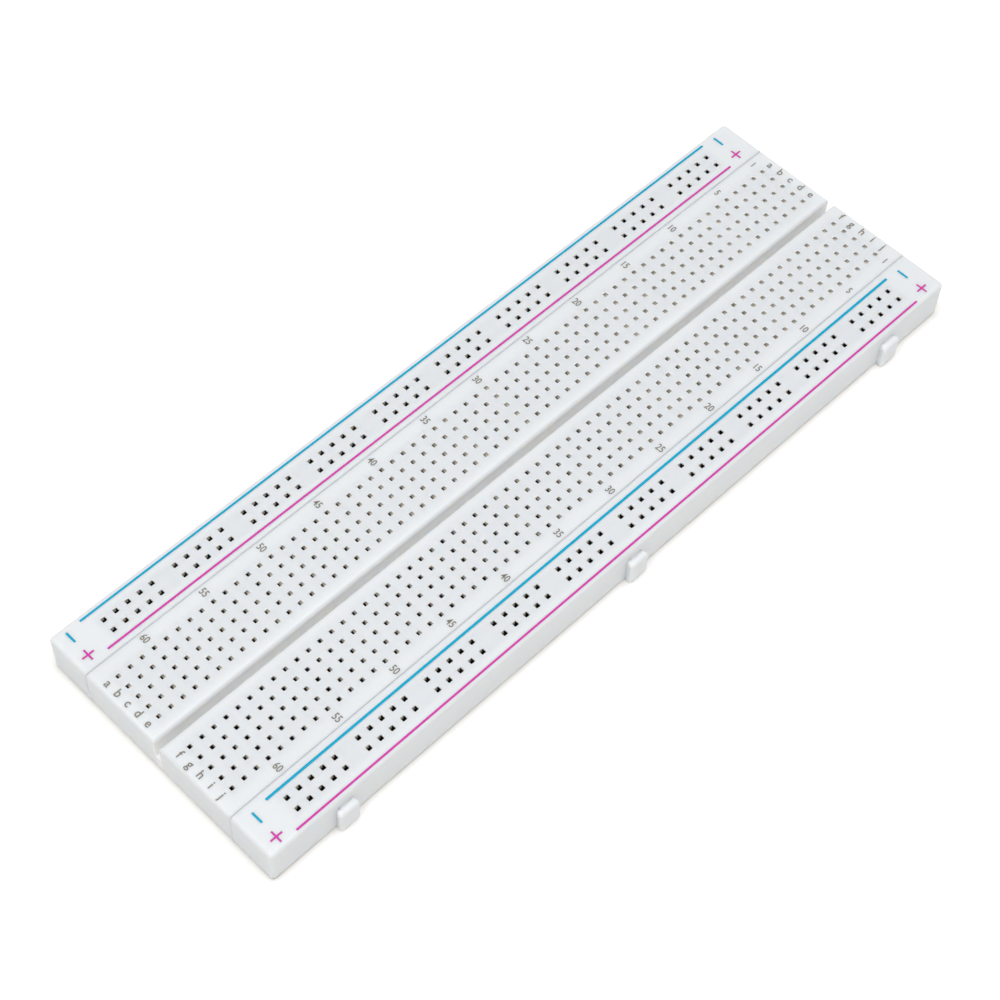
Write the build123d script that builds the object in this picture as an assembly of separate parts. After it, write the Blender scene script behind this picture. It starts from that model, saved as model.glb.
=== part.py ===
from build123d import *
from math import hypot
import os

# Full-size solderless breadboard with 830 tie points, in millimetres.
# +X runs from column 1 to column 63, +Y from row a to row j, and +Z is up.
# The origin is under the middle of the hole grid, on the plane that the board rests on.

# Overall size
LENGTH = 165.1
WIDTH = 54.6
HEIGHT = 8.5

# Hole grid
PITCH = 2.54
COLUMNS = 63
ROWS_PER_SIDE = 5
ROW_GAP = 7.62                # row e to row f, across the centre channel
RAIL_STATIONS = 59            # rail positions on the grid, of which every sixth is left out
RAIL_GROUP = 6
HOLE = 1.0                    # side of the square hole
HOLE_MOUTH = 1.5              # side of the lead-in at the top face
LEAD_IN = 0.3
COLUMNS_PER_GROUP = 5         # clips are grouped as the printed column numbers are

# Strips: one terminal strip between two power rail strips
TERMINAL_WIDTH = 35.4
STRIP_CLEARANCE = 0.02        # left free on each strip at each joint
EDGE_CHAMFER = 0.4
CORNER_CHAMFER = 0.8
JOINT_CHAMFER = 0.1

# Underside: release liner, foam pad, then the moulded housing
LINER = 0.1
FOAM = 0.5
PAD_INSET = 0.3
HOUSING_BOTTOM = LINER + FOAM

# Housing walls
TOP_SKIN = 0.8
POCKET_TOP = HEIGHT - TOP_SKIN
POCKET_WIDTH = 2.0
POCKET_END = 1.2              # from the last hole's centre to the pocket's end

# Centre channel
CHANNEL_TOP = 1.64
CHANNEL_FLOOR = 1.6
CHANNEL_DEPTH = 4.5
CHANNEL_LIP = 0.35

# Interlocking dovetail tabs on each strip's +Y side, and slots on its -Y side
TAB_SPACING = 67.0
TAB_ROOT = 3.9
TAB_TIP = 4.3
TAB_REACH = 1.4
TAB_TOP = 5.6
TAB_CHAMFER = 0.35
SLOT_CLEARANCE = 0.12

# Spring contacts: folded sheet with pairs of fingers that pinch, then flare open
SHEET = 0.2
WEB_HALF = 0.7
LEG_HALF = 0.86
WEB_Z = 1.0
LEG_FOOT_Z = 1.2
LEG_TOP_Z = 2.4
PINCH_HALF = 0.16
PINCH_Z = 6.9
FLARE_HALF = 0.75
FLARE_Z = 7.55
FINGER_WIDTH = 1.7
TIP_WIDTH = 0.7

HALF_WIDTH = WIDTH / 2
JOINT_Y = TERMINAL_WIDTH / 2
RAIL_Y = (HALF_WIDTH + JOINT_Y) / 2
STRIPS = {
    "a_side_rail": (-HALF_WIDTH, -JOINT_Y - STRIP_CLEARANCE),
    "terminal_strip": (-JOINT_Y + STRIP_CLEARANCE, JOINT_Y - STRIP_CLEARANCE),
    "j_side_rail": (JOINT_Y + STRIP_CLEARANCE, HALF_WIDTH),
}
COLUMN_X = [(i - (COLUMNS - 1) / 2) * PITCH for i in range(COLUMNS)]
SIDE_Y = ROW_GAP / 2 + (ROWS_PER_SIDE - 1) / 2 * PITCH
FINGER_STATIONS = [(i - (ROWS_PER_SIDE - 1) / 2) * PITCH for i in range(ROWS_PER_SIDE)]
RAIL_X = [
    (i - (RAIL_STATIONS - 1) / 2) * PITCH
    for i in range(RAIL_STATIONS)
    if i % RAIL_GROUP != RAIL_GROUP - 1
]
RAIL_ROW_OFFSET = PITCH / 2
TAB_X = [-TAB_SPACING, 0.0, TAB_SPACING]


def dovetail(root, tip, reach, bottom, top):
    """A dovetail prism that stands out of the plane y = 0 towards +Y."""
    half_root = root / 2
    half_tip = tip / 2
    outline = Polyline(
        (-half_root, 0, bottom),
        (-half_tip, reach, bottom),
        (half_tip, reach, bottom),
        (half_root, 0, bottom),
        close=True,
    )
    return extrude(make_face(outline), amount=top - bottom, dir=(0, 0, 1))


def tab():
    """One tab, rounded off along its upper rim."""
    body = dovetail(TAB_ROOT, TAB_TIP, TAB_REACH, HOUSING_BOTTOM, TAB_TOP)
    rim = body.faces().sort_by(Axis.Z)[-1].edges().sort_by(Axis.Y)[1:]
    return chamfer(rim, TAB_CHAMFER)


def slot():
    """The cutter for one slot, which is open at the bottom and at the side."""
    grow = 2 * SLOT_CLEARANCE
    reach = TAB_REACH + SLOT_CLEARANCE
    return dovetail(TAB_ROOT + grow, TAB_TIP + grow, reach, -HEIGHT, TAB_TOP + SLOT_CLEARANCE)


def on_outside(edge):
    """Whether an edge lies in one of the board's two long outer walls."""
    return abs(edge.center().Y) > HALF_WIDTH - 0.01


def on_joint(edge):
    """Whether an edge lies in a wall that faces a neighbouring strip."""
    return abs(abs(edge.center().Y) - JOINT_Y) < 2 * STRIP_CLEARANCE


def strip_block(y_low, y_high):
    """A strip's outer shape with its tabs and slots, more broken at the board's outside than at a joint."""
    width = y_high - y_low
    centre = (y_low + y_high) / 2
    height = HEIGHT - HOUSING_BOTTOM
    block = Pos(0, centre, HOUSING_BOTTOM) * Box(
        LENGTH, width, height, align=(Align.CENTER, Align.CENTER, Align.MIN)
    )
    corners = [edge for edge in block.edges().filter_by(Axis.Z) if on_outside(edge)]
    if corners:
        block = chamfer(corners, CORNER_CHAMFER)
    rim = block.faces().sort_by(Axis.Z)[-1].edges()
    joint_edges = [edge for edge in rim.filter_by(Axis.X) if not on_outside(edge)]
    block = chamfer([edge for edge in rim if edge not in joint_edges], EDGE_CHAMFER)
    rim = block.faces().sort_by(Axis.Z)[-1].edges()
    block = chamfer([edge for edge in rim.filter_by(Axis.X) if on_joint(edge)], JOINT_CHAMFER)
    block += [Pos(x, y_high, 0) * tab() for x in TAB_X]
    block -= [Pos(x, y_low, 0) * slot() for x in TAB_X]
    return block


def hole_cutter():
    """A square tie-point hole with a shallow lead-in, which runs on into the pocket below."""
    mouth = Pos(0, 0, HEIGHT) * Rectangle(HOLE_MOUTH, HOLE_MOUTH)
    throat = Pos(0, 0, HEIGHT - LEAD_IN) * Rectangle(HOLE, HOLE)
    return loft([throat, mouth]) + extrude(throat, amount=-TOP_SKIN)


def pocket_cutter(length_x, length_y):
    """The room for one spring contact, open at the bottom."""
    depth = POCKET_TOP + HEIGHT
    return Pos(0, 0, -HEIGHT) * Box(
        length_x, length_y, depth, align=(Align.CENTER, Align.CENTER, Align.MIN)
    )


def channel_cutter():
    """The drafted centre channel with its broken lips, open at both ends."""
    half_top = CHANNEL_TOP / 2
    half_floor = CHANNEL_FLOOR / 2
    section = Polyline(
        (-LENGTH, -half_top - CHANNEL_LIP, HEIGHT),
        (-LENGTH, half_top + CHANNEL_LIP, HEIGHT),
        (-LENGTH, half_top, HEIGHT - CHANNEL_LIP),
        (-LENGTH, half_floor, HEIGHT - CHANNEL_DEPTH),
        (-LENGTH, -half_floor, HEIGHT - CHANNEL_DEPTH),
        (-LENGTH, -half_top, HEIGHT - CHANNEL_LIP),
        close=True,
    )
    return extrude(make_face(section), amount=2 * LENGTH, dir=(1, 0, 0))


def terminal_housing(y_low, y_high):
    """The moulding with rows a to j, a pocket for every clip, and the centre channel."""
    hole = hole_cutter()
    pocket_length = (ROWS_PER_SIDE - 1) * PITCH + 2 * POCKET_END
    pocket = pocket_cutter(POCKET_WIDTH, pocket_length)
    cutters = [channel_cutter()]
    for side in (-SIDE_Y, SIDE_Y):
        for x in COLUMN_X:
            cutters.append(Pos(x, side, 0) * pocket)
            cutters += [Pos(x, side + y, 0) * hole for y in FINGER_STATIONS]
    return strip_block(y_low, y_high) - cutters


def rail_housing(y_low, y_high, centre):
    """A power rail moulding, with two long pockets under its two rows of holes."""
    hole = hole_cutter()
    pocket = pocket_cutter(RAIL_X[-1] - RAIL_X[0] + 2 * POCKET_END, POCKET_WIDTH)
    cutters = []
    for row in (-RAIL_ROW_OFFSET, RAIL_ROW_OFFSET):
        cutters.append(Pos(0, centre + row, 0) * pocket)
        cutters += [Pos(x, centre + row, 0) * hole for x in RAIL_X]
    return strip_block(y_low, y_high) - cutters


def mitred(points, thickness):
    """Both edges of a sheet of even thickness that follows the given centre line."""
    left = []
    right = []
    for i, (x, z) in enumerate(points):
        before = points[max(i - 1, 0)]
        after = points[min(i + 1, len(points) - 1)]
        normals = []
        for start, end in ((before, (x, z)), ((x, z), after)):
            run = hypot(end[0] - start[0], end[1] - start[1])
            if run:
                normals.append(((start[1] - end[1]) / run, (end[0] - start[0]) / run))
        nx = sum(n[0] for n in normals) / len(normals)
        nz = sum(n[1] for n in normals) / len(normals)
        scale = thickness / 2 / (nx * nx + nz * nz)
        left.append((x + nx * scale, z + nz * scale))
        right.append((x - nx * scale, z - nz * scale))
    return left, right


def sheet_run(left, right, first, last, y_low, y_high):
    """The sheet between two of its bends, extruded along Y."""
    ring = left[first:last + 1] + right[first:last + 1][::-1]
    face = make_face(Polyline([(x, y_low, z) for x, z in ring], close=True))
    return extrude(face, amount=y_high - y_low, dir=(0, 1, 0))


def spring_contact(stations):
    """A folded strip along Y with a pair of sprung fingers at each station."""
    side = [
        (WEB_HALF, WEB_Z),
        (LEG_HALF, LEG_FOOT_Z),
        (LEG_HALF, LEG_TOP_Z),
        (PINCH_HALF, PINCH_Z),
        (FLARE_HALF, FLARE_Z),
    ]
    centre_line = [(-x, z) for x, z in side[::-1]] + side
    left, right = mitred(centre_line, SHEET)
    last = len(centre_line) - 1
    half_finger = FINGER_WIDTH / 2
    half_tip = TIP_WIDTH / 2
    contact = sheet_run(left, right, 2, last - 2, stations[0] - half_finger, stations[-1] + half_finger)
    fingers = []
    for y in stations:
        for start in (1, last - 2):
            fingers.append(sheet_run(left, right, start, start + 1, y - half_finger, y + half_finger))
        for start in (0, last - 1):
            fingers.append(sheet_run(left, right, start, start + 1, y - half_tip, y + half_tip))
    return contact + fingers


def pad(y_low, y_high, z_low, z_high):
    """A flat backing layer, notched so that the strip's slots stay open at the bottom."""
    length = LENGTH - 2 * PAD_INSET
    width = y_high - y_low - 2 * PAD_INSET
    layer = Pos(0, (y_low + y_high) / 2, z_low) * Box(
        length, width, z_high - z_low, align=(Align.CENTER, Align.CENTER, Align.MIN)
    )
    notch_depth = 2 * (TAB_REACH + 2 * SLOT_CLEARANCE)
    notch = Box(TAB_TIP + 4 * SLOT_CLEARANCE, notch_depth, 4 * HEIGHT)
    return layer - [Pos(x, y_low, 0) * notch for x in TAB_X]


def save(shape, node):
    """Writes one sub-part."""
    shape.label = node
    export_step(shape, f"parts/{node}.step")


def main():
    os.makedirs("parts", exist_ok=True)

    save(rail_housing(*STRIPS["a_side_rail"], -RAIL_Y), "a_side_rail_housing")
    save(terminal_housing(*STRIPS["terminal_strip"]), "terminal_strip_housing")
    save(rail_housing(*STRIPS["j_side_rail"], RAIL_Y), "j_side_rail_housing")

    clip = spring_contact(FINGER_STATIONS)
    for rows, side in (("a_to_e", -SIDE_Y), ("f_to_j", SIDE_Y)):
        for first in range(0, COLUMNS, COLUMNS_PER_GROUP):
            columns = COLUMN_X[first:first + COLUMNS_PER_GROUP]
            group = Compound(children=[Pos(x, side, 0) * clip for x in columns])
            save(group, f"clips_{rows}_cols_{first + 1:02d}_{first + len(columns):02d}")

    bar = Rot(0, 0, -90) * spring_contact(RAIL_X)
    for name, centre in (("a_side", -RAIL_Y), ("j_side", RAIL_Y)):
        save(Pos(0, centre - RAIL_ROW_OFFSET, 0) * bar, f"{name}_minus_bus_bar")
        save(Pos(0, centre + RAIL_ROW_OFFSET, 0) * bar, f"{name}_plus_bus_bar")

    for name, (y_low, y_high) in STRIPS.items():
        save(pad(y_low, y_high, LINER, HOUSING_BOTTOM), f"{name}_foam_pad")
        save(pad(y_low, y_high, 0, LINER), f"{name}_release_liner")


main()
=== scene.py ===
import random
from math import cos, pi, radians, sin, sqrt

import bmesh
import bpy
from mathutils import Matrix, Vector


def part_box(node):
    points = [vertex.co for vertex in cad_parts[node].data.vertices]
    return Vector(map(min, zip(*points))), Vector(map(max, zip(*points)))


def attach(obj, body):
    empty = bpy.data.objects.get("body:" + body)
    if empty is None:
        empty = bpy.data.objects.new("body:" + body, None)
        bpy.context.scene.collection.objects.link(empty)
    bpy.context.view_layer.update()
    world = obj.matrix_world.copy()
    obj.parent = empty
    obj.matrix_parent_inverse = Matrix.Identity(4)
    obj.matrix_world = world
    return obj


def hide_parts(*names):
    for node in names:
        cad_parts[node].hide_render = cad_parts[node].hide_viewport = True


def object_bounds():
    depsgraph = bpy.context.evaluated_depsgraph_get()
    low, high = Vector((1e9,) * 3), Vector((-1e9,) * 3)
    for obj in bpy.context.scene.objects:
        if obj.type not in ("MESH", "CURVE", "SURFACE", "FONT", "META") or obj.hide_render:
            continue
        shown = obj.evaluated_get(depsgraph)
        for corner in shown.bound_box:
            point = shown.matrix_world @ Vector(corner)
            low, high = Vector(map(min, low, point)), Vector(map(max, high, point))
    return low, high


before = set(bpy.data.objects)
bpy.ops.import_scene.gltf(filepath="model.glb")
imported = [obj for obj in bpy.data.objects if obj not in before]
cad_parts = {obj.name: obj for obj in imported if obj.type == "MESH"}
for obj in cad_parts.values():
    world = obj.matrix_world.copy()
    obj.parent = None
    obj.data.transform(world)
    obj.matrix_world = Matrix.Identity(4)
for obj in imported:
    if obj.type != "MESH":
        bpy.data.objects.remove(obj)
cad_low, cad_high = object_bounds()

# A full-size solderless breadboard. Everything is in metres, in the row frame:
# +X from column 1 to column 63, +Y from row a to row j, +Z up, the resting plane at Z = 0.

MM = 0.001
TINY = 0.001 * MM
SHARP_ANGLE = radians(32)
SHEET_SHARP_ANGLE = radians(50)

# Hole grid
PITCH = 2.54 * MM
COLUMNS = 63
ROWS_PER_SIDE = 5
ROW_GAP = 7.62 * MM
RAIL_STATIONS = 59
RAIL_GROUP = 6
RAIL_ROW_OFFSET = PITCH / 2
HOLE_HALF = 0.38 * MM
RAIL_HOLE_HALF = 0.44 * MM
MOUTH_FLARE = 0.16 * MM
MOUTH_ROUNDING = 0.8            # how much of the flare goes into the corner radius
LEAD_IN = 0.15 * MM
MOUTH_STEPS = 5
HOLE_CORNER = 0.1 * MM
CORNER_STEPS = 2
TOP_SKIN = 0.42 * MM

# Cutters stand this far over the top face, and are this much wider there
CUT_OVER = 0.02 * MM
HOLE_CUT_SPREAD = 0.15 * MM
HOLE_CUT_CORNER = 0.35 * MM
CHANNEL_CUT_SPREAD = 0.2 * MM

# The print stands on the moulded face, which lies this far under the frame's top
PRINT_ROOM = 0.02 * MM
PRINT_THICKNESS = 0.014 * MM
PRINT_SINK = 0.006 * MM

# Mouldings
EDGE_RADIUS = 0.7 * MM
JOINT_RADIUS = 0.02 * MM
JOINT_GROWTH = 0.015 * MM       # closes most of the clearance, so that the joint is a hairline
CORNER_RADIUS = 0.8 * MM
JOINT_CORNER = 0.1 * MM
EDGE_STEPS = 6
POCKET_HALF = 1.0 * MM
POCKET_END = 1.2 * MM
CHANNEL_HALF_TOP = 0.7 * MM
CHANNEL_HALF_FLOOR = 0.68 * MM
CHANNEL_DEPTH = 4.5 * MM
CHANNEL_LIP = 0.85 * MM
CHANNEL_FILLET = 0.25 * MM
LIP_STEPS = 8
FILLET_STEPS = 3
TAB_SPACING = 67.0 * MM
TAB_ROOT = 3.9 * MM
TAB_TIP = 4.3 * MM
TAB_REACH = 1.4 * MM
TAB_TOP = 5.6 * MM
TAB_RADIUS = 0.8 * MM
TAB_CORNER = 0.6 * MM
TAB_BLEND = 0.45 * MM
TAB_INSIDE = 0.3 * MM           # how far a tab is rooted inside the wall
TAB_STEPS = 8
BLEND_STEPS = 5
SLOT_CLEARANCE = 0.12 * MM

# The holes' painted light and the pockets' painted shade stop this far from the outer walls, the slots'
# side, the centre plane and the top face, and the pockets' painted shade goes this far over their tops
WALL_ZONE = 1.0 * MM
SLOT_ZONE = 1.6 * MM
CHANNEL_ZONE = 2.0 * MM
TOP_ZONE = 0.01 * MM
POCKET_ZONE = 0.05 * MM

# Spring contacts
SHEET = 0.2 * MM
WEB_HALF = 0.7 * MM
WEB_Z = 1.0 * MM
FOOT_BEND = 0.12 * MM
FOOT_RISE = 0.05 * MM
WEB_ROWS = 4                    # rows from the centre to the top of each leg, where the fingers part
LEG_HALF = 0.86 * MM
LEG_FOOT_Z = 1.2 * MM
LEG_TOP_Z = 2.4 * MM
PINCH_HALF = 0.33 * MM
WIDE_PINCH_HALF = 0.5 * MM      # the clips of rows f to j stand wider open towards column 63
PINCH_Z = 7.35 * MM
FLARE_HALF = 0.8 * MM
FLARE_Z = 7.94 * MM
FINGER_HALF = 0.85 * MM
TIP_HALF = 0.84 * MM
CLIMB_CURVE = 1.5
CLIMB_STEPS = 5
TAPER_START = 0.7               # of the climb to the pinch
FLARE_CURVE = 1.3
FLARE_STEPS = 6
TIP_ROUNDING = 0.9              # width of the last row over the tip's
BUS_TIP_HALF = 0.25 * MM
BUS_SPREAD = -0.25 * MM

# How unevenly the clips stand, in millimetres
LEAN = (-0.1, 0.14)
SPREAD = (-0.12, 0.03)
SHIFT = (-0.12, 0.12)

COLUMN_X = [(i - (COLUMNS - 1) / 2) * PITCH for i in range(COLUMNS)]
FINGER_STATIONS = [(i - (ROWS_PER_SIDE - 1) / 2) * PITCH for i in range(ROWS_PER_SIDE)]
SIDE_Y = ROW_GAP / 2 + (ROWS_PER_SIDE - 1) / 2 * PITCH
RAIL_X = [
    (i - (RAIL_STATIONS - 1) / 2) * PITCH
    for i in range(RAIL_STATIONS)
    if i % RAIL_GROUP != RAIL_GROUP - 1
]
TAB_X = [-TAB_SPACING, 0.0, TAB_SPACING]
RAILS = ("a_side_rail", "j_side_rail")
STRIPS = ("a_side_rail", "terminal_strip", "j_side_rail")
OUTER_SIDE = {"a_side_rail": -1, "terminal_strip": 0, "j_side_rail": 1}


# ---------------------------------------------------------------- small helpers

def add_piece(name, mesh, material=None):
    """A new object in the scene from a mesh."""
    piece = bpy.data.objects.new(name, mesh)
    bpy.context.scene.collection.objects.link(piece)
    if material:
        piece.data.materials.append(material)
    return piece


def from_bmesh(name, bm, material=None):
    """A new object from a bmesh, with its faces turned outwards."""
    bmesh.ops.recalc_face_normals(bm, faces=bm.faces)
    mesh = bpy.data.meshes.new(name)
    bm.to_mesh(mesh)
    bm.free()
    return add_piece(name, mesh, material)


def apply_modifiers(piece):
    """Bakes a piece's modifiers into its mesh."""
    bpy.context.view_layer.update()
    graph = bpy.context.evaluated_depsgraph_get()
    mesh = bpy.data.meshes.new_from_object(piece.evaluated_get(graph))
    piece.modifiers.clear()
    piece.data = mesh
    mesh.name = piece.name


def combine(piece, tool, operation):
    """A boolean with another object, which is used up."""
    modifier = piece.modifiers.new("combine", "BOOLEAN")
    modifier.operation = operation
    modifier.solver = "MANIFOLD"
    modifier.object = tool
    apply_modifiers(piece)
    bpy.data.objects.remove(tool)


def smooth(piece):
    """Smooth shading that keeps the real edges sharp and the flat faces flat."""
    mesh = piece.data
    mesh.shade_smooth()
    mesh.set_sharp_from_angle(angle=SHARP_ANGLE)
    weighted = piece.modifiers.new("weighted", "WEIGHTED_NORMAL")
    weighted.keep_sharp = True
    apply_modifiers(piece)


def add_box(bm, low, high):
    """A box between two corners."""
    made = bmesh.ops.create_cube(bm, size=1)
    size = Vector(high) - Vector(low)
    centre = (Vector(high) + Vector(low)) / 2
    for vert in made["verts"]:
        vert.co = centre + Vector((vert.co.x * size.x, vert.co.y * size.y, vert.co.z * size.z))


def add_prism(bm, outline, z_low, z_high):
    """A prism over a plan outline."""
    bottom = [bm.verts.new((x, y, z_low)) for x, y in outline]
    top = [bm.verts.new((x, y, z_high)) for x, y in outline]
    bm.faces.new(bottom)
    bm.faces.new(top)
    for i in range(len(outline)):
        j = (i + 1) % len(outline)
        bm.faces.new((bottom[i], bottom[j], top[j], top[i]))


def add_tube(bm, rings):
    """A closed solid through a stack of rings with equal numbers of points."""
    loops = [[bm.verts.new(point) for point in ring] for ring in rings]
    for under, over in zip(loops, loops[1:]):
        for i in range(len(under)):
            j = (i + 1) % len(under)
            bm.faces.new((under[i], under[j], over[j], over[i]))
    bm.faces.new(loops[0])
    bm.faces.new(loops[-1])


# ---------------------------------------------------------------- mouldings

def rounding(z, top, radius):
    """How far a top edge of this radius draws the wall in at a height."""
    rise = min(max(z - (top - radius), 0.0), radius)
    return radius - sqrt(radius * radius - rise * rise)


def strip_block(low, high, outer_side):
    """A strip's outer shape: well rounded on the board's outside, nearly sharp where strips meet."""
    levels = {low.z, high.z - EDGE_RADIUS}
    for radius in (EDGE_RADIUS, JOINT_RADIUS):
        turns = [step * pi / (2 * EDGE_STEPS) for step in range(1, EDGE_STEPS + 1)]
        levels |= {high.z - radius * (1 - sin(turn)) for turn in turns}
    rings = []
    for z in sorted(levels):
        end = rounding(z, high.z, EDGE_RADIUS)
        ring = []
        for side_x, side_y, start in ((1, 1, 0), (-1, 1, 1), (-1, -1, 2), (1, -1, 3)):
            outside = side_y == outer_side
            radius = CORNER_RADIUS - end if outside else JOINT_CORNER
            x = (high.x if side_x > 0 else low.x) - side_x * (end + radius)
            side = rounding(z, high.z, EDGE_RADIUS if outside else JOINT_RADIUS)
            growth = 0 if outside else JOINT_GROWTH
            y = (high.y if side_y > 0 else low.y) - side_y * (side + radius - growth)
            for step in range(EDGE_STEPS + 1):
                angle = (start + step / EDGE_STEPS) * pi / 2
                ring.append((x + radius * cos(angle), y + radius * sin(angle), z))
        rings.append(ring)
    bm = bmesh.new()
    add_tube(bm, rings)
    return from_bmesh("block", bm)


def tab_ring(x, y, z, inset, reach):
    """A tab's plan at one height, with rounded outer corners."""
    root = TAB_ROOT / 2 - inset
    tip = TAB_TIP / 2 - inset
    radius = min(TAB_CORNER, reach / 2)
    side = [(root, -TAB_INSIDE), (root, 0.0)]
    for step in range(BLEND_STEPS + 1):
        angle = step * pi / (2 * BLEND_STEPS)
        side.append((tip - radius * (1 - cos(angle)), reach - radius * (1 - sin(angle))))
    return [(x + u, y + v, z) for u, v in side] + [(x - u, y + v, z) for u, v in side[::-1]]


def tabs(y, z_low, blended):
    """The three dovetail tabs, rounded on top. The outermost ones are blended into the wall above them."""
    bm = bmesh.new()
    for x in TAB_X:
        rings = [tab_ring(x, y, z_low, 0.0, TAB_REACH)]
        for step in range(TAB_STEPS + 1):
            angle = step * pi / (2 * TAB_STEPS)
            inset = TAB_RADIUS * (1 - cos(angle))
            rings.append(tab_ring(x, y, TAB_TOP - TAB_RADIUS * (1 - sin(angle)), inset, TAB_REACH - inset))
        for step in range(BLEND_STEPS + 1 if blended else 0):
            angle = step * pi / (2 * BLEND_STEPS)
            reach = TAB_BLEND * (1 - sin(angle)) + 10 * TINY
            rings.append(tab_ring(x, y, TAB_TOP + TAB_BLEND * (1 - cos(angle)) + TINY, TAB_RADIUS, reach))
        add_tube(bm, rings)
    return from_bmesh("tabs", bm)


def slots(y, z_low):
    """Cutters for the three slots, open at the bottom."""
    root = TAB_ROOT / 2 + SLOT_CLEARANCE
    tip = TAB_TIP / 2 + SLOT_CLEARANCE
    end = y + TAB_REACH + SLOT_CLEARANCE
    bm = bmesh.new()
    for x in TAB_X:
        outline = [(x - root, y - MM), (x - root, y), (x - tip, end),
                   (x + tip, end), (x + root, y), (x + root, y - MM)]
        add_prism(bm, outline, z_low - MM, TAB_TOP + SLOT_CLEARANCE)
    return from_bmesh("slots", bm)


def rounded_square(x, y, z, half, radius):
    """A ring of points round a square with rounded corners."""
    ring = []
    for quarter in range(4):
        turn = Matrix.Rotation(quarter * pi / 2, 2)
        for step in range(CORNER_STEPS + 1):
            angle = step * pi / (2 * CORNER_STEPS)
            point = Vector((half - radius + radius * cos(angle), half - radius + radius * sin(angle)))
            point = turn @ point
            ring.append((x + point.x, y + point.y, z))
    return ring


def hole_rings(x, y, top, throat):
    """A tie-point hole's cutter: a rounded lip, a short straight wall, and on into the pocket."""
    lip_z = top - LEAD_IN
    rings = [rounded_square(x, y, lip_z - TOP_SKIN, throat, HOLE_CORNER)]
    for step in range(MOUTH_STEPS, 0, -1):
        angle = step * pi / (2 * MOUTH_STEPS)
        flare = MOUTH_FLARE * (1 - sin(angle))
        z = lip_z + LEAD_IN * cos(angle)
        rings.append(rounded_square(x, y, z, throat + flare, HOLE_CORNER + flare * MOUTH_ROUNDING))
    over = throat + MOUTH_FLARE + HOLE_CUT_SPREAD
    rings.append(rounded_square(x, y, top + CUT_OVER, over, HOLE_CUT_CORNER))
    return rings


def channel_cutter(top):
    """The drafted centre channel, open at both ends, with rounded lips and floor corners."""
    side = [(CHANNEL_HALF_TOP + CHANNEL_LIP + CHANNEL_CUT_SPREAD, top + CUT_OVER)]
    for step in range(1, LIP_STEPS + 1):
        angle = step * pi / (2 * LIP_STEPS)
        y = CHANNEL_HALF_TOP + CHANNEL_LIP * (1 - sin(angle))
        side.append((y, top - CHANNEL_LIP * (1 - cos(angle))))
    for step in range(FILLET_STEPS + 1):
        angle = step * pi / (2 * FILLET_STEPS)
        y = CHANNEL_HALF_FLOOR - CHANNEL_FILLET * (1 - cos(angle))
        side.append((y, top - CHANNEL_DEPTH + CHANNEL_FILLET * (1 - sin(angle))))
    outline = side + [(-y, z) for y, z in side[::-1]]
    bm = bmesh.new()
    ends = [cad_low.x - MM, cad_high.x + MM]
    add_tube(bm, [[(x, y, z) for y, z in outline] for x in ends])
    return from_bmesh("channel", bm)


def paint_housing(piece, low, high, pocket_top, channel):
    """White outside, with painted shade: near-black in the pockets, and painted light: a brighter white in
    the holes' throats.
    """
    piece.data.materials.clear()
    for material in (ABS, ABS_PAINTED_POCKET_SHADE if channel else ABS_PAINTED_DEEP_SHADE, ABS_PAINTED_THROAT_LIGHT):
        piece.data.materials.append(material)
    for face in piece.data.polygons:
        centre = face.center
        in_channel = channel and abs(centre.y) < CHANNEL_ZONE
        within = low.x + WALL_ZONE < centre.x < high.x - WALL_ZONE
        within = within and low.y + SLOT_ZONE < centre.y < high.y - WALL_ZONE
        if within and not in_channel and centre.z < pocket_top + POCKET_ZONE:
            face.material_index = 1
        elif within and not in_channel and centre.z < high.z - TOP_ZONE:
            face.material_index = 2


def housing(strip, holes, pockets, channel):
    """One moulding, cut from its outer block, in place of its CAD node."""
    node = f"{strip}_housing"
    low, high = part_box(node)
    high.y -= TAB_REACH
    high.z -= PRINT_ROOM
    piece = strip_block(low, high, OUTER_SIDE[strip])
    piece.name = f"{strip}_moulding"
    combine(piece, tabs(high.y, low.z, OUTER_SIDE[strip] > 0), "UNION")
    combine(piece, slots(low.y, low.z), "DIFFERENCE")

    bm = bmesh.new()
    pocket_top = cad_high.z - TOP_SKIN
    for (x_low, x_high), (y_low, y_high) in pockets:
        add_box(bm, (x_low, y_low, low.z - MM), (x_high, y_high, pocket_top))
    combine(piece, from_bmesh("pockets", bm), "DIFFERENCE")

    bm = bmesh.new()
    for x, y in holes:
        add_tube(bm, hole_rings(x, y, high.z, HOLE_HALF if channel else RAIL_HOLE_HALF))
    combine(piece, from_bmesh("holes", bm), "DIFFERENCE")
    if channel:
        combine(piece, channel_cutter(high.z), "DIFFERENCE")

    paint_housing(piece, low, high, pocket_top, channel)
    smooth(piece)
    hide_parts(node)
    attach(piece, strip)


def terminal_cuts():
    """Where the terminal strip has holes and pockets."""
    holes = []
    pockets = []
    reach = (ROWS_PER_SIDE - 1) / 2 * PITCH + POCKET_END
    for side in (-SIDE_Y, SIDE_Y):
        for x in COLUMN_X:
            pockets.append(((x - POCKET_HALF, x + POCKET_HALF), (side - reach, side + reach)))
            holes += [(x, side + y) for y in FINGER_STATIONS]
    return holes, pockets


def rail_cuts(centre):
    """Where a rail strip has holes and pockets."""
    holes = []
    pockets = []
    for row in (centre - RAIL_ROW_OFFSET, centre + RAIL_ROW_OFFSET):
        span = (RAIL_X[0] - POCKET_END, RAIL_X[-1] + POCKET_END)
        pockets.append((span, (row - POCKET_HALF, row + POCKET_HALF)))
        holes += [(x, row) for x in RAIL_X]
    return holes, pockets


# ---------------------------------------------------------------- spring contacts

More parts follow.
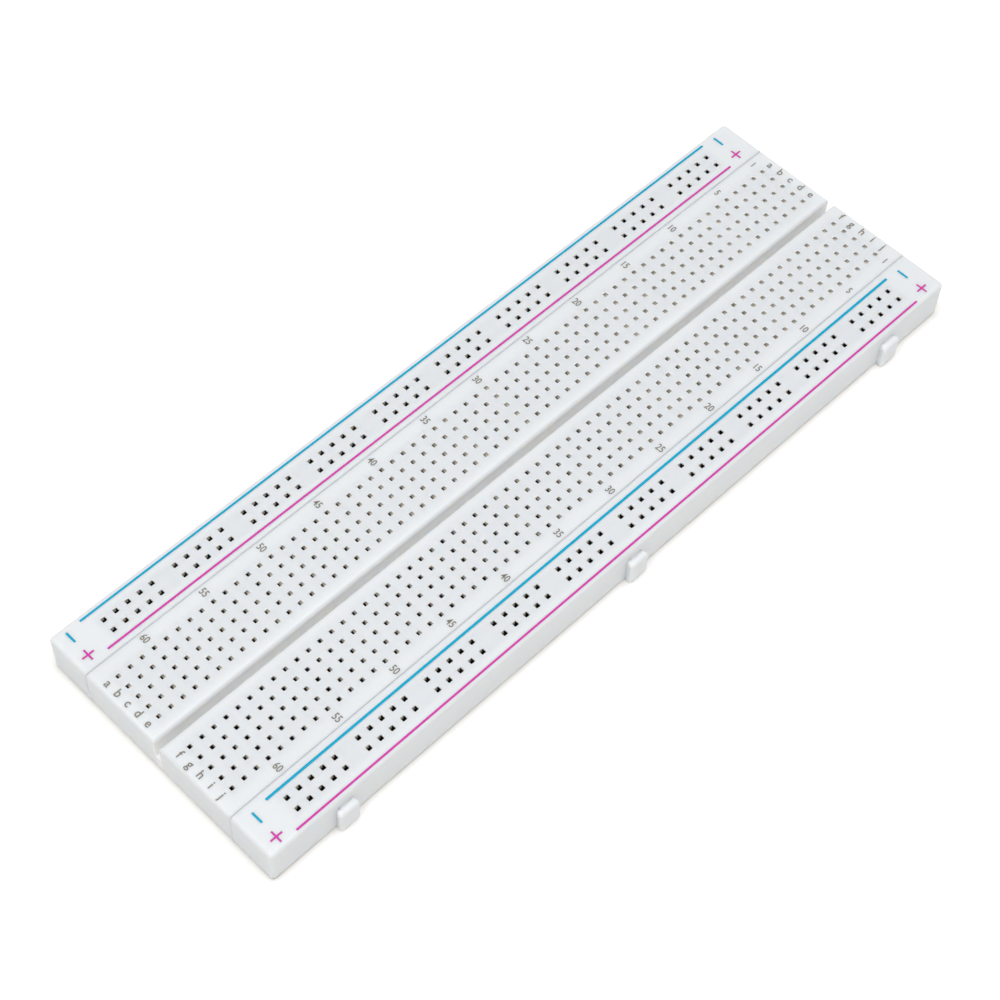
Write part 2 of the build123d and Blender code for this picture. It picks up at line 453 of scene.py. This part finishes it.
def finger_side(lean, spread, tip, pinch):
    """Half width from the centre plane, height and finger width, from the web up to one finger's tip."""
    rows = [
        (0.0, WEB_Z, FINGER_HALF),
        (WEB_HALF - FOOT_BEND, WEB_Z, FINGER_HALF),
        (WEB_HALF + FOOT_RISE, WEB_Z + FOOT_RISE, FINGER_HALF),
        (LEG_HALF, LEG_FOOT_Z + FOOT_RISE, FINGER_HALF),
        (LEG_HALF, LEG_TOP_Z, FINGER_HALF),
    ]
    climb = PINCH_Z - LEG_TOP_Z
    for step in range(1, CLIMB_STEPS + 1):
        t = step / CLIMB_STEPS
        half = pinch + (LEG_HALF - pinch) * (1 - t) ** CLIMB_CURVE
        narrow = max(0.0, t - TAPER_START) / (1 - TAPER_START)
        width = FINGER_HALF + (tip - FINGER_HALF) * narrow
        rows.append((half + lean * t * t, LEG_TOP_Z + climb * t, width))
    flare = FLARE_HALF + spread - pinch
    for step in range(1, FLARE_STEPS + 1):
        t = step / FLARE_STEPS
        width = tip * (1 if step < FLARE_STEPS else TIP_ROUNDING)
        half = pinch + flare * t ** FLARE_CURVE
        rows.append((half + lean, PINCH_Z + (FLARE_Z - PINCH_Z) * t, width))
    return rows


def add_contact(bm, stations, lean, spread, shift, tip, pinch, place):
    """A folded sheet along local Y, with a pair of fingers at each station."""
    right = finger_side(lean, spread, tip, pinch)
    left = [(-x, z, w) for x, z, w in finger_side(-lean, spread, tip, pinch)[:0:-1]]
    profile = left + right
    first_web = len(left) - WEB_ROWS
    last_web = len(left) + WEB_ROWS
    grid = []
    for index, (x, z, width) in enumerate(profile):
        row = []
        for station in stations:
            for across in (-1, 0, 1):
                row.append(bm.verts.new(place @ Vector((x, station + shift + across * width, z))))
        grid.append(row)
    for index in range(len(profile) - 1):
        in_web = first_web <= index < last_web
        for column in range(len(grid[0]) - 1):
            if in_web or column % 3 < 2:
                corners = (grid[index][column], grid[index][column + 1],
                           grid[index + 1][column + 1], grid[index + 1][column])
                bm.faces.new(corners)


def finish_contacts(name, bm, node, body, material):
    """Gives the folded sheets their thickness and puts them in place of the CAD node."""
    loose = [v for v in bm.verts if not v.link_faces]
    bmesh.ops.delete(bm, geom=loose, context="VERTS")
    piece = from_bmesh(name, bm, material)
    solid = piece.modifiers.new("sheet", "SOLIDIFY")
    solid.thickness = SHEET
    solid.offset = 0
    solid.use_even_offset = True
    apply_modifiers(piece)
    piece.data.shade_smooth()
    piece.data.set_sharp_from_angle(angle=SHEET_SHARP_ANGLE)
    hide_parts(node)
    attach(piece, body)


def contacts():
    """All the terminal clips and the four bus bars."""
    draw = random.Random(63)
    for node in sorted(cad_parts):
        if node.startswith("clips_"):
            low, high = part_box(node)
            side = (low.y + high.y) / 2
            widening = WIDE_PINCH_HALF - PINCH_HALF if side > 0 else 0
            opening = widening / (COLUMN_X[-1] - COLUMN_X[0])
            bm = bmesh.new()
            for x in COLUMN_X:
                if low.x < x < high.x:
                    place = Matrix.Translation((x, side, 0))
                    pinch = PINCH_HALF + opening * (x - COLUMN_X[0])
                    lean = draw.uniform(*LEAN) * MM
                    spread = draw.uniform(*SPREAD) * MM
                    shift = draw.uniform(*SHIFT) * MM
                    add_contact(bm, FINGER_STATIONS, lean, spread, shift, TIP_HALF, pinch, place)
            name = node.replace("clips", "contact_clips")
            finish_contacts(name, bm, node, "terminal_strip", PLATED_CLIP)
        elif node.endswith("_bus_bar"):
            low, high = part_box(node)
            place = Matrix.Translation((0, (low.y + high.y) / 2, 0)) @ Matrix.Rotation(-pi / 2, 4, "Z")
            bm = bmesh.new()
            add_contact(bm, RAIL_X, 0.0, BUS_SPREAD, 0.0, BUS_TIP_HALF, PINCH_HALF, place)
            name = node.replace("bus_bar", "bus_contact")
            body = "a_side_rail" if node.startswith("a_side") else "j_side_rail"
            finish_contacts(name, bm, node, body, PLATED_BUS)


# ---------------------------------------------------------------- print

LINE_OFFSET = 3.6 * MM
BLUE_HALF_WIDTH = {"a_side_rail": 0.21 * MM, "j_side_rail": 0.25 * MM}
MAGENTA_HALF_WIDTH = 0.2 * MM
LINE_HALF_LENGTH = 76.0 * MM
SIGN_X = 79.0 * MM
SIGN_OFFSET = 2.25 * MM
SIGN_HALF = 1.2 * MM
STROKE_HALF = 0.17 * MM
STROKE_ROUNDING = 0.6           # corner radius over half width
STROKE_STEPS = 3
MINUS_HALF = 0.21 * MM
PRINT_SHIFT = {"a_side_rail": (0.75 * MM, -0.1 * MM), "j_side_rail": (0.35 * MM, 0.35 * MM)}
LETTER_X = 80.9 * MM
LETTER_SIZE = 2.3 * MM
LETTER_SQUEEZE = 0.95
LETTER_MIDDLE = 0.27            # height of the middle of a small letter over the size
NUMBER_Y = 16.3 * MM
NUMBER_SIZE = 2.0 * MM
NUMBER_SQUEEZE = 0.8
TEXT_WEIGHT = 0.02 * MM
NUMBERS = [1] + list(range(5, COLUMNS, 5))


def add_stroke(bm, x, y, half_x, half_y, z):
    """A printed bar with rounded corners."""
    radius = min(half_x, half_y) * STROKE_ROUNDING
    outline = []
    for cx, cy, start in ((1, 1, 0), (-1, 1, 1), (-1, -1, 2), (1, -1, 3)):
        for step in range(STROKE_STEPS + 1):
            angle = (start + step / STROKE_STEPS) * pi / 2
            outline.append((x + cx * (half_x - radius) + radius * cos(angle),
                            y + cy * (half_y - radius) + radius * sin(angle)))
    add_prism(bm, outline, z - PRINT_SINK, z - PRINT_SINK + PRINT_THICKNESS)


def add_plus(bm, x, y, z):
    """A printed plus sign as one outline."""
    s, h = STROKE_HALF, SIGN_HALF
    outline = [(s, s), (s, h), (-s, h), (-s, s), (-h, s), (-h, -s), (-s, -s), (-s, -h),
               (s, -h), (s, -s), (h, -s), (h, s)]
    add_prism(bm, [(x + u, y + v) for u, v in outline], z - PRINT_SINK, z - PRINT_SINK + PRINT_THICKNESS)


def finish_print(name, bm, material, body):
    """A print that rides on its strip."""
    piece = from_bmesh(name, bm, material)
    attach(piece, body)


def rail_print(body, z):
    """Blue on the strip's low-Y side and magenta on its high-Y side, with minus and plus signs."""
    low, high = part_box(f"{body}_housing")
    along, across = PRINT_SHIFT[body]
    centre = (low.y + high.y - TAB_REACH) / 2 + across
    blue = bmesh.new()
    magenta = bmesh.new()
    add_stroke(blue, along, centre - LINE_OFFSET, LINE_HALF_LENGTH, BLUE_HALF_WIDTH[body], z)
    add_stroke(magenta, along, centre + LINE_OFFSET, LINE_HALF_LENGTH, MAGENTA_HALF_WIDTH, z)
    for x in (along - SIGN_X, along + SIGN_X):
        add_stroke(blue, x, centre - SIGN_OFFSET, MINUS_HALF, SIGN_HALF, z)
        add_plus(magenta, x, centre + SIGN_OFFSET, z)
    finish_print(f"{body}_blue_print", blue, BLUE_INK, body)
    finish_print(f"{body}_magenta_print", magenta, MAGENTA_INK, body)


def add_text(bm, text, x, y, z, size, squeeze):
    """Printed characters that read towards +Y."""
    curve = bpy.data.curves.new("text", "FONT")
    curve.body = text
    curve.size = size
    curve.align_x = "CENTER"
    curve.align_y = "BOTTOM_BASELINE"
    curve.extrude = PRINT_THICKNESS / 2
    curve.offset = TEXT_WEIGHT
    curve.resolution_u = 3
    holder = bpy.data.objects.new("text", curve)
    bpy.context.scene.collection.objects.link(holder)
    bpy.context.view_layer.update()
    graph = bpy.context.evaluated_depsgraph_get()
    mesh = bpy.data.meshes.new_from_object(holder.evaluated_get(graph))
    heights = [v.co.y for v in mesh.vertices]
    middle = (min(heights) + max(heights)) / 2 if text.isdigit() else size * LETTER_MIDDLE
    mesh.transform(Matrix.Translation((0, -middle, 0)))
    mesh.transform(Matrix.Diagonal((squeeze, 1, 1, 1)))
    mesh.transform(Matrix.Rotation(pi / 2, 4, "Z"))
    mesh.transform(Matrix.Translation((x, y, z - PRINT_SINK + PRINT_THICKNESS / 2)))
    bm.from_mesh(mesh)
    bpy.data.objects.remove(holder)
    bpy.data.curves.remove(curve)
    bpy.data.meshes.remove(mesh)


def terminal_print(z):
    """Row letters at both ends and column numbers along both long sides."""
    bm = bmesh.new()
    rows = [-SIDE_Y + y for y in FINGER_STATIONS] + [SIDE_Y + y for y in FINGER_STATIONS]
    for letter, y in zip("abcdefghij", rows):
        for x in (-LETTER_X, LETTER_X):
            add_text(bm, letter, x, y, z, LETTER_SIZE, LETTER_SQUEEZE)
    for number in NUMBERS:
        for y in (-NUMBER_Y, NUMBER_Y):
            add_text(bm, str(number), COLUMN_X[number - 1], y, z, NUMBER_SIZE, NUMBER_SQUEEZE)
    bmesh.ops.remove_doubles(bm, verts=bm.verts, dist=TINY / 10)
    finish_print("terminal_strip_legend", bm, GREY_INK, "terminal_strip")


# ---------------------------------------------------------------- materials

# Most of a noise texture's values lie between these
NOISE_LOW = 0.3
NOISE_HIGH = 0.7


class Shader:
    """A Principled material with short calls for its procedural nodes."""

    def __init__(self, name):
        self.material = bpy.data.materials.new(name)
        self.material.use_nodes = True
        self.nodes = self.material.node_tree.nodes
        self.links = self.material.node_tree.links
        self.surface = self.nodes["Principled BSDF"]
        self.place = self.nodes.new("ShaderNodeTexCoord").outputs["Object"]

    def set(self, **values):
        for name, value in values.items():
            self.surface.inputs[name.replace("_", " ")].default_value = value

    def link(self, output, name):
        self.links.new(output, self.surface.inputs[name])

    def noise(self, scale, detail=3, roughness=0.5, stretch=(1, 1, 1)):
        mapping = self.nodes.new("ShaderNodeMapping")
        mapping.inputs["Scale"].default_value = stretch
        self.links.new(self.place, mapping.inputs["Vector"])
        noise = self.nodes.new("ShaderNodeTexNoise")
        noise.inputs["Scale"].default_value = scale
        noise.inputs["Detail"].default_value = detail
        noise.inputs["Roughness"].default_value = roughness
        self.links.new(mapping.outputs["Vector"], noise.inputs["Vector"])
        return noise.outputs["Fac"]

    def ramp(self, value, stops):
        ramp = self.nodes.new("ShaderNodeValToRGB")
        elements = ramp.color_ramp.elements
        while len(elements) < len(stops):
            elements.new(0.5)
        for element, (position, colour) in zip(elements, stops):
            element.position = position
            element.color = (*colour, 1)
        self.links.new(value, ramp.inputs["Fac"])
        return ramp.outputs["Color"]

    def range(self, value, low, high):
        node = self.nodes.new("ShaderNodeMapRange")
        node.inputs["From Min"].default_value = NOISE_LOW
        node.inputs["From Max"].default_value = NOISE_HIGH
        node.inputs["To Min"].default_value = low
        node.inputs["To Max"].default_value = high
        self.links.new(value, node.inputs["Value"])
        return node.outputs["Result"]

    def fade(self, axis, start, end):
        """Rises from nothing at one distance along an axis to one at another."""
        axes = self.nodes.new("ShaderNodeSeparateXYZ")
        self.links.new(self.place, axes.inputs["Vector"])
        distance = self.nodes.new("ShaderNodeMath")
        distance.operation = "ABSOLUTE"
        self.links.new(axes.outputs[axis], distance.inputs[0])
        fade = self.nodes.new("ShaderNodeMapRange")
        fade.interpolation_type = "SMOOTHSTEP"
        fade.inputs["From Min"].default_value = start
        fade.inputs["From Max"].default_value = end
        self.links.new(distance.outputs["Value"], fade.inputs["Value"])
        return fade.outputs["Result"]

    def mix(self, factor, colour, other):
        node = self.nodes.new("ShaderNodeMix")
        node.data_type = "RGBA"
        colours = [socket for socket in node.inputs if socket.type == "RGBA"]
        self.links.new(factor, node.inputs["Factor"])
        self.links.new(colour, colours[0])
        colours[1].default_value = (*other, 1)
        return next(socket for socket in node.outputs if socket.type == "RGBA")

    def bump(self, value, distance, strength=1.0, under=None):
        node = self.nodes.new("ShaderNodeBump")
        node.inputs["Strength"].default_value = strength
        node.inputs["Distance"].default_value = distance
        self.links.new(value, node.inputs["Height"])
        if under:
            self.links.new(under, node.inputs["Normal"])
        return node.outputs["Normal"]


def shade(colour, factor):
    """A colour made lighter or darker."""
    return tuple(c * factor for c in colour)


def abs_plastic(name, colour, inside, reach=0.9 * MM):
    """White moulded ABS: satin, a little uneven in tone, with a fine moulded grain.

    Outside, it lets light in to the given reach, and the channel's walls are painted a brighter white as
    painted light, for the light bouncing between them.
    """
    shader = Shader(name)
    tone = shader.noise(70, detail=4)
    flat = shader.ramp(tone, ((NOISE_LOW, shade(colour, 0.975)), (NOISE_HIGH, colour)))
    if not inside:
        # Painted light: the channel's walls turn a brighter white, fading in at the lip
        channel = shader.fade("Y", CHANNEL_HALF_TOP + CHANNEL_LIGHT_FADE, CHANNEL_HALF_TOP)
        flat = shader.mix(channel, flat, CHANNEL_PAINTED_LIGHT)
    shader.link(flat, "Base Color")
    shader.link(shader.range(shader.noise(2500, detail=2), 0.42, 0.52), "Roughness")
    grain = shader.bump(shader.noise(6000, detail=2), 0.004 * MM)
    shader.link(shader.bump(shader.noise(180, detail=1), 0.02 * MM, under=grain), "Normal")
    if not inside:
        shader.set(Subsurface_Weight=1.0, Subsurface_Radius=(1.0, 0.9, 0.8), Subsurface_Scale=reach)
    return shader.material


def plated_sheet(name, mouth_z, shadow_z, metallic):
    """Plated bronze sheet with rolling lines and a little tarnish.

    It keeps its bright plating above mouth_z and is painted near-black below shadow_z, as painted shade
    deep in the pockets.
    """
    shader = Shader(name)
    tarnish = shader.noise(300, detail=4)
    plated = shader.ramp(tarnish, ((0.35, WARM_PLATING), (0.65, PALE_PLATING)))
    # Painted shade: the plating fades to near-black going down from mouth_z to shadow_z
    shader.link(shader.mix(shader.fade("Z", mouth_z, shadow_z), plated, METAL_PAINTED_SHADE), "Base Color")
    shader.set(Metallic=metallic)
    lines = shader.noise(3000, detail=2, stretch=(1, 1, 0.06))
    shader.link(shader.range(lines, 0.6, 0.75), "Roughness")
    shader.link(shader.bump(lines, 0.003 * MM), "Normal")
    return shader.material


def ink(name, colour):
    """Screen-printed ink: flat, matt, with a slightly uneven coat."""
    shader = Shader(name)
    coat = shader.noise(1800, detail=3)
    shader.link(shader.ramp(coat, ((NOISE_LOW, shade(colour, 0.9)), (NOISE_HIGH, colour))), "Base Color")
    shader.link(shader.range(shader.noise(5000), 0.4, 0.55), "Roughness")
    shader.link(shader.bump(coat, 0.003 * MM), "Normal")
    shader.set(Specular_IOR_Level=0.2)
    return shader.material


def foam_tape():
    """Closed-cell foam, with its cells showing on the cut edges."""
    shader = Shader("foam_tape")
    voronoi = shader.nodes.new("ShaderNodeTexVoronoi")
    voronoi.inputs["Scale"].default_value = 5000
    shader.links.new(shader.place, voronoi.inputs["Vector"])
    cells = voronoi.outputs["Distance"]
    shader.link(shader.ramp(cells, ((0.1, CELL_SHADE), (0.6, CELL_WALL))), "Base Color")
    shader.set(Roughness=0.9)
    shader.link(shader.bump(cells, 0.05 * MM), "Normal")
    return shader.material


def liner_paper():
    """Waxed release paper with a faint fibre."""
    shader = Shader("liner_paper")
    fibre = shader.noise(900, detail=5, roughness=0.7, stretch=(1, 0.3, 1))
    shader.link(shader.ramp(fibre, ((NOISE_LOW, FIBRE_SHADE), (NOISE_HIGH, FIBRE_LIGHT))), "Base Color")
    shader.link(shader.range(shader.noise(400), 0.3, 0.45), "Roughness")
    shader.link(shader.bump(fibre, 0.01 * MM), "Normal")
    return shader.material


def paint_node(node, material):
    """Gives a CAD node its finished material."""
    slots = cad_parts[node].data.materials
    slots.clear()
    slots.append(material)


# Painted light: the channel's walls are painted whiter than the top, for the light bouncing between them,
# fading in over the next width at the lip
CHANNEL_PAINTED_LIGHT = (0.94, 0.945, 0.94)
CHANNEL_LIGHT_FADE = 0.12 * CHANNEL_LIP
WARM_PLATING = (0.97, 0.86, 0.66)
PALE_PLATING = (0.99, 0.95, 0.82)
# Painted shade: the near-black that the plating turns to deep in the pockets
METAL_PAINTED_SHADE = (0.04, 0.033, 0.025)
CELL_SHADE = (0.42, 0.40, 0.34)
CELL_WALL = (0.66, 0.63, 0.55)
FIBRE_SHADE = (0.66, 0.58, 0.40)
FIBRE_LIGHT = (0.76, 0.69, 0.52)
ABS = abs_plastic("white_abs", (0.825, 0.85, 0.868), inside=False)
# Painted shade: a dark copy of the white ABS on the terminal strip's pocket walls, for the dark inside the
# pockets
ABS_PAINTED_POCKET_SHADE = abs_plastic("white_abs_painted_pocket_shade", (0.2, 0.19, 0.175), inside=True)
# Painted light: a brighter copy of the white ABS on the holes' throat walls, for light coming through the
# translucent plastic
ABS_PAINTED_THROAT_LIGHT = abs_plastic("white_abs_painted_throat_light", (0.99, 0.99, 0.985), inside=False, reach=0.5 * MM)
# Painted shade: a near-black copy of the white ABS on the rails' pocket walls, for the dark inside the
# pockets
ABS_PAINTED_DEEP_SHADE = abs_plastic("white_abs_painted_deep_shade", (0.05, 0.05, 0.05), inside=True)
PLATED_CLIP = plated_sheet("plated_clip", mouth_z=7.65 * MM, shadow_z=7.3 * MM, metallic=0.3)
PLATED_BUS = plated_sheet("plated_bus", mouth_z=7.95 * MM, shadow_z=7.5 * MM, metallic=1.0)
BLUE_INK = ink("blue_ink", (0.0, 0.41, 0.64))
MAGENTA_INK = ink("magenta_ink", (0.69, 0.05, 0.42))
GREY_INK = ink("grey_ink", (0.27, 0.25, 0.205))
FOAM_TAPE = foam_tape()
LINER_PAPER = liner_paper()


# ---------------------------------------------------------------- assembly

housing("terminal_strip", *terminal_cuts(), channel=True)
for rail in RAILS:
    low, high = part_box(f"{rail}_housing")
    housing(rail, *rail_cuts((low.y + high.y - TAB_REACH) / 2), channel=False)
contacts()
print_z = cad_high.z - PRINT_ROOM
terminal_print(print_z)
for rail in RAILS:
    rail_print(rail, print_z)
for strip in STRIPS:
    paint_node(f"{strip}_foam_pad", FOAM_TAPE)
    paint_node(f"{strip}_release_liner", LINER_PAPER)


# ---------------------------------------------------------------- camera, floor and light

CAMERA_LENS = 82.05
CAMERA_PLACE = (0.16778, 0.15185, 0.33327)
CAMERA_BACK = (0.40457, 0.37751, 0.83295)
CAMERA_UP = (-0.57706, -0.60121, 0.55277)
FLOOR_SHADE = (0.95, 0.94, 0.92)
FLOOR_LIGHT = (0.97, 0.96, 0.94)
FLOOR_GLOW = 0.11
LIGHT_PLACE = (0.12, 0.1, 1.2)
LIGHT_SIZE = (1.2, 1.2)
LIGHT_POWER = 16.1
SKY_STRENGTH = 0.2
WHITE = (1, 1, 1, 1)


def camera():
    """The camera looks down along the board from past its column 63 end, on the tab side."""
    data = bpy.data.cameras.new("camera")
    data.lens = CAMERA_LENS
    data.clip_start = 0.01
    data.clip_end = 10
    piece = bpy.data.objects.new("camera", data)
    bpy.context.scene.collection.objects.link(piece)
    back = Vector(CAMERA_BACK).normalized()
    right = Vector(CAMERA_UP).cross(back).normalized()
    turn = Matrix((right, back.cross(right), back)).transposed().to_4x4()
    piece.matrix_world = Matrix.Translation(CAMERA_PLACE) @ turn
    bpy.context.scene.camera = piece


def floor():
    """A plain pale floor."""
    shader = Shader("floor")
    tone = shader.noise(3, detail=2)
    shader.link(shader.ramp(tone, ((NOISE_LOW, FLOOR_SHADE), (NOISE_HIGH, FLOOR_LIGHT))), "Base Color")
    shader.set(Roughness=0.9, Emission_Color=WHITE, Emission_Strength=FLOOR_GLOW)
    bm = bmesh.new()
    bmesh.ops.create_grid(bm, x_segments=8, y_segments=8, size=3)
    piece = from_bmesh("floor", bm, shader.material)


def soft_box(name, place, size, power):
    """A large soft light that faces the board."""
    data = bpy.data.lights.new(name, "AREA")
    data.shape = "RECTANGLE"
    data.size, data.size_y = size
    data.energy = power
    piece = bpy.data.objects.new(name, data)
    bpy.context.scene.collection.objects.link(piece)
    piece.location = place
    piece.rotation_euler = (-Vector(place)).to_track_quat("-Z", "Y").to_euler()


def sky():
    """An even white surround."""
    world = bpy.data.worlds.new("studio")
    world.use_nodes = True
    background = world.node_tree.nodes["Background"]
    background.inputs["Color"].default_value = WHITE
    background.inputs["Strength"].default_value = SKY_STRENGTH
    bpy.context.scene.world = world


camera()
floor()
soft_box("overhead", LIGHT_PLACE, LIGHT_SIZE, LIGHT_POWER)
sky()
bpy.context.scene.view_settings.view_transform = "Standard"
